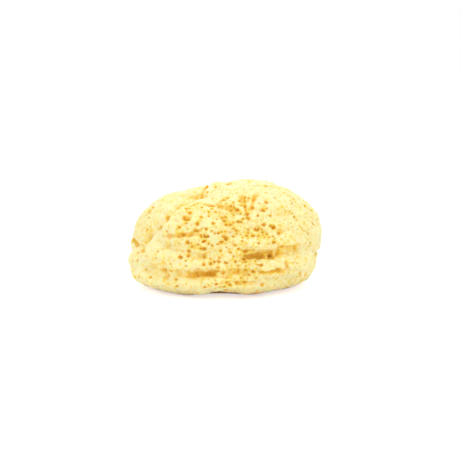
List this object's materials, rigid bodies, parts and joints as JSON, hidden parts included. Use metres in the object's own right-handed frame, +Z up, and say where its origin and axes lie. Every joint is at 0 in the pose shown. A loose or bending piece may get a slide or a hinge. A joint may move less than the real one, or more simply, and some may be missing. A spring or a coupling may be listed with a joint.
{
  "type": "natural sea sponge",
  "caption": "Plump dry natural sea sponge with rounded lobes, deep creases, scattered pores and a flat foot, for bathing or cleaning.",
  "frame": {"origin": "under the middle of the sponge's overall box, on the ground it stands on", "axes": "+X along its length to the taller end, +Y away from the front with the deep mouth crease, +Z up"},
  "size_m": [0.09, 0.072, 0.048],
  "materials": {
    "sponge": "matte, porous and fibrous, pale honey yellow"
  },
  "bodies": {
    "root": {"sponge": "sponge"}
  },
  "joints": []
}
